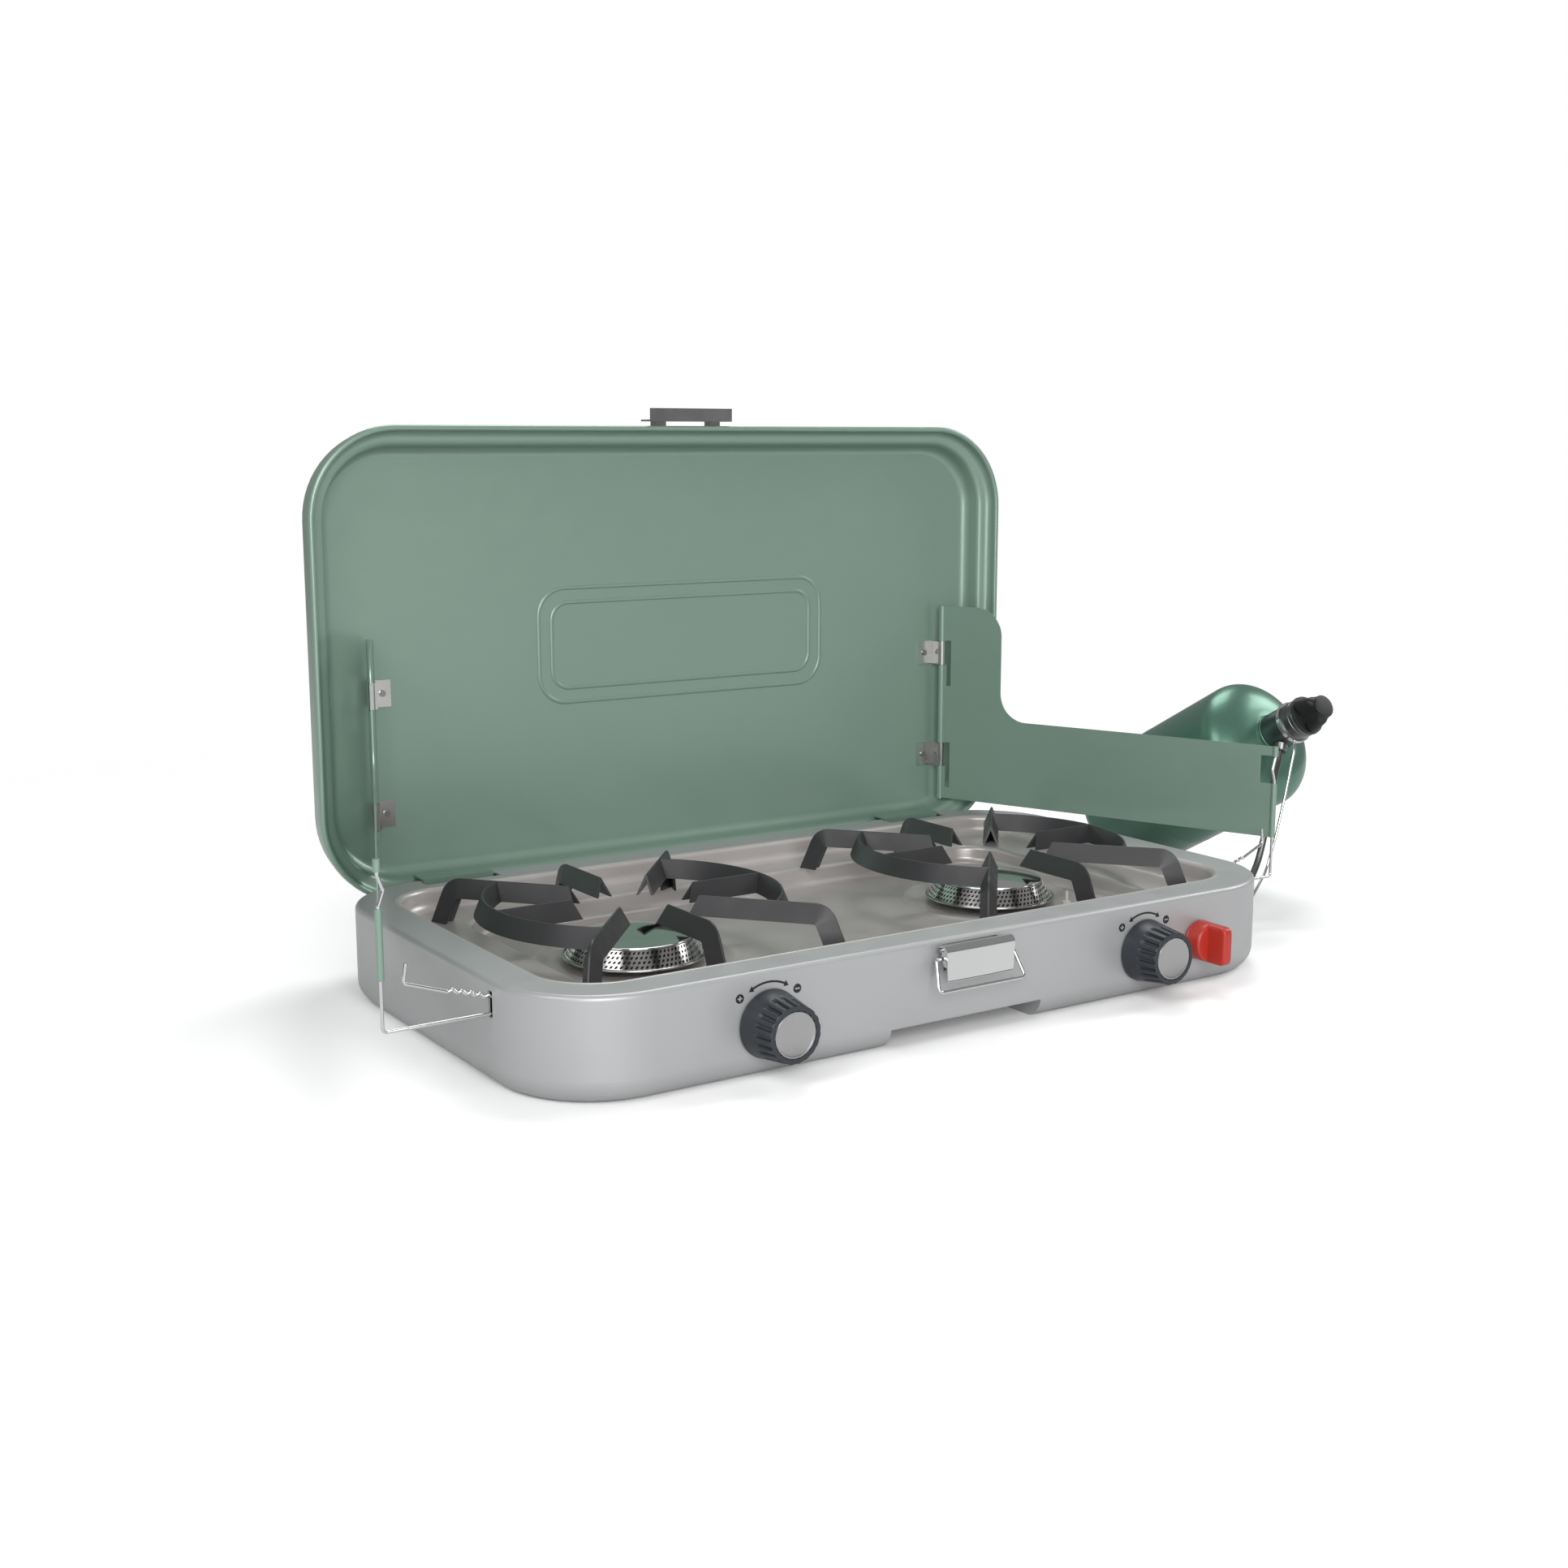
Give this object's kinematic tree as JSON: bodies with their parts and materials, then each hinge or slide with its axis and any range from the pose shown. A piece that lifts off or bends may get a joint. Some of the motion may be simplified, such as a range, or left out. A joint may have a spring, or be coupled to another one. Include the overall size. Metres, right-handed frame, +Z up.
{
  "type": "camping stove",
  "caption": "Folding gas camping stove, open: case with basin, perforated burners, pan supports, lid with hinged windguards and prop wires, latch, knobs, igniter, and a cylinder on a regulator",
  "frame": {"origin": "middle of the case's flat underside, on the surface it stands on", "axes": "+X to the right seen from the knobs, +Y to the back where the lid stands, +Z up"},
  "size_m": [0.7826, 0.3685, 0.372],
  "materials": {
    "case": "satin silver-grey paint",
    "basin": "warm satin grey enamel",
    "green": "sage green satin paint",
    "anthracite": "satin anthracite enamel",
    "steel": "satin",
    "chrome": "polished",
    "alloy": "satin",
    "brass": "machined",
    "charcoal": "satin charcoal",
    "black": "satin black",
    "red": "satin red",
    "bottle": "gloss green",
    "ceramic": "white ceramic",
    "lead": "insulated lead"
  },
  "bodies": {
    "base": {"burner_cap_left": "chrome", "burner_cap_right": "chrome", "burner_cup_left": "steel", "burner_cup_right": "steel", "burner_ring_left": "chrome", "burner_ring_right": "chrome", "case_shell": "case", "cooktop_basin": "basin", "electrodes": "ceramic", "feed_tube": "black", "gas_jets": "brass", "gas_manifold": "steel", "igniter_body": "case", "igniter_lead_left": "lead", "igniter_lead_right": "lead", "inlet_socket": "steel", "latch_bracket": "steel", "latch_pin": "steel", "lid_pins": "steel", "manifold_stands": "steel", "mixer_tube_left": "steel", "mixer_tube_right": "steel", "pan_finger_left_back": "anthracite", "pan_finger_left_front": "anthracite", "pan_finger_right_back": "anthracite", "pan_finger_right_front": "anthracite", "pan_frame_left_left": "anthracite", "pan_frame_left_right": "anthracite", "pan_frame_right_left": "anthracite", "pan_frame_right_right": "anthracite", "regulator_body": "steel", "support_stay": "steel", "valve_body_left": "brass", "valve_body_right": "brass", "valve_screws": "steel"},
    "lid": {"lid_shell": "green", "lid_tongue_left": "green", "lid_tongue_right": "green", "lid_catch": "steel", "guard_clips": "steel", "guard_rivets": "steel", "guard_pins": "steel"},
    "guard_left": {"windguard_left": "green"},
    "guard_right": {"windguard_right": "green"},
    "wire_left": {"guard_wire_left": "chrome"},
    "wire_right": {"guard_wire_right": "chrome"},
    "latch": {"latch_lever": "steel"},
    "bail": {"latch_bail": "chrome"},
    "control_left": {"knob_left": "charcoal", "knob_disc_left": "alloy", "valve_stem_left": "brass"},
    "control_right": {"knob_right": "charcoal", "knob_disc_right": "alloy", "valve_stem_right": "brass"},
    "igniter": {"igniter_knob": "red", "igniter_shaft": "steel"},
    "cylinder": {"gas_cylinder": "bottle", "cylinder_neck": "bottle"},
    "regulator_grip": {"regulator_knob": "black"}
  },
  "joints": [
    {"name": "lid_hinge", "type": "hinge", "parent": "base", "child": "lid", "pos_m": [0, 0.1495, 0.0545], "axis": [1, 0, 0], "range_deg": [-0.2, 0.2]},
    {"name": "windguard_left_swing", "type": "hinge", "parent": "lid", "child": "guard_left", "pos_m": [-0.237, 0.174, 0.1], "axis": [0, 0, -1], "range_deg": [0, 5]},
    {"name": "windguard_right_swing", "type": "hinge", "parent": "lid", "child": "guard_right", "pos_m": [0.237, 0.174, 0.1], "axis": [0, 0, 1], "range_deg": [0, 5]},
    {"name": "guard_wire_left_pivot", "type": "hinge", "parent": "guard_left", "child": "wire_left", "pos_m": [-0.33815, -0.08279, 0.1], "axis": [0, 0, -1], "range_deg": [-0.67, 0.01]},
    {"name": "guard_wire_right_pivot", "type": "hinge", "parent": "guard_right", "child": "wire_right", "pos_m": [0.33815, -0.08279, 0.1], "axis": [0, 0, 1], "range_deg": [-0.67, 0.01]},
    {"name": "latch_lever_hinge", "type": "hinge", "parent": "base", "child": "latch", "pos_m": [0, -0.1615, 0.0568], "axis": [-1, 0, 0], "range_deg": [0, 70]},
    {"name": "latch_bail_hinge", "type": "hinge", "parent": "latch", "child": "bail", "pos_m": [0, -0.1622, 0.0515], "axis": [-1, 0, 0], "range_deg": [0, 80]},
    {"name": "control_left_turn", "type": "hinge", "parent": "base", "child": "control_left", "pos_m": [-0.142, -0.17, 0.0315], "axis": [0, -1, 0], "range_deg": [0, 270]},
    {"name": "control_right_turn", "type": "hinge", "parent": "base", "child": "control_right", "pos_m": [0.142, -0.17, 0.0315], "axis": [0, -1, 0], "range_deg": [0, 270]},
    {"name": "igniter_turn", "type": "hinge", "parent": "base", "child": "igniter", "pos_m": [0.19, -0.165, 0.0315], "axis": [0, -1, 0], "range_deg": [0, 60], "stiffness_Nm_per_rad": 0.05},
    {"name": "cylinder_unscrew", "type": "hinge", "parent": "base", "child": "cylinder", "pos_m": [0.393, -0.0322, 0.1343], "axis": [0, -0.8746, 0.4848], "range_deg": [0, 360]},
    {"name": "regulator_knob_turn", "type": "hinge", "parent": "base", "child": "regulator_grip", "pos_m": [0.393, -0.0322, 0.1343], "axis": [0, -0.8746, 0.4848], "range_deg": [0, 360]}
  ],
  "couplings": [
    {"joint": "guard_wire_left_pivot", "follows": "windguard_left_swing", "ratio": -0.1319},
    {"joint": "guard_wire_right_pivot", "follows": "windguard_right_swing", "ratio": -0.1319}
  ]
}
